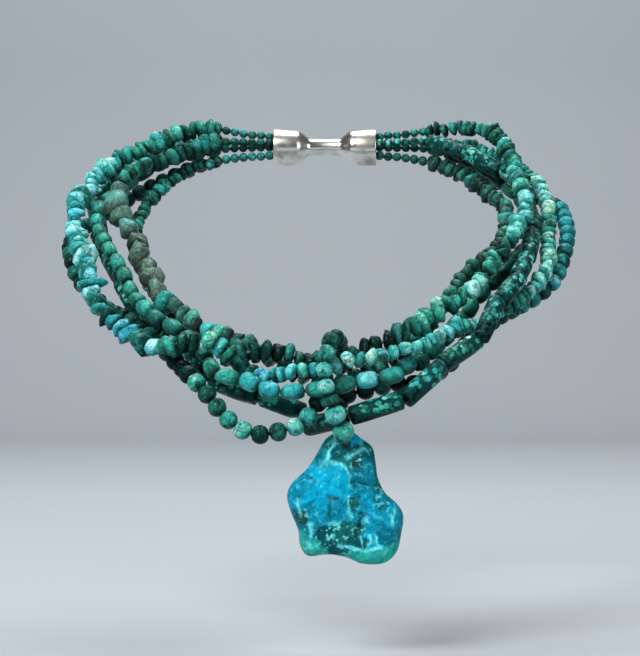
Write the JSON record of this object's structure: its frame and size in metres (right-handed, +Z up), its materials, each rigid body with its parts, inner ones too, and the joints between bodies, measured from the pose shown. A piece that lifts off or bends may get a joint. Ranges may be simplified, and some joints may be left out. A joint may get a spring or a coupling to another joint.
{
  "type": "multi-strand bead necklace with pendant",
  "caption": "Necklace of loosely twisted turquoise bead strings from a clasp at the nape, with a bead loop round them that carries a freeform stone slab.",
  "frame": {"origin": "middle of the neck opening, where the necklace sits round a neck", "axes": "+Z is up, the front with the pendant faces -Y, +X is on the right in a front view"},
  "size_m": [0.1777, 0.1529, 0.1501],
  "materials": {
    "nugget_stone": "polished mottled turquoise nuggets",
    "small_stone": "polished pale turquoise nuggets with dark matrix",
    "chip_stone": "polished grey green turquoise chips",
    "oval_stone": "polished turquoise barrel beads",
    "round_stone": "polished dark green turquoise",
    "inlay_stone": "polished turquoise chips inlaid in dark matrix",
    "bail_stone": "polished turquoise with dark matrix",
    "slab_stone": "polished blue turquoise with brown matrix",
    "clasp_metal": "polished silver coloured metal"
  },
  "bodies": {
    "necklace": {"string_nugget": "nugget_stone", "string_small": "small_stone", "string_chip": "chip_stone", "string_oval": "oval_stone", "string_round": "round_stone", "string_tube": "inlay_stone", "bail_beads": "bail_stone", "clasp": "clasp_metal"},
    "pendant": {"pendant_slab": "slab_stone"}
  },
  "joints": [
    {"name": "pendant_swing", "type": "hinge", "parent": "necklace", "child": "pendant", "pos_m": [0.0062, -0.0715, -0.0723], "axis": [0, 1, 0], "range_deg": [-22, 22]}
  ]
}
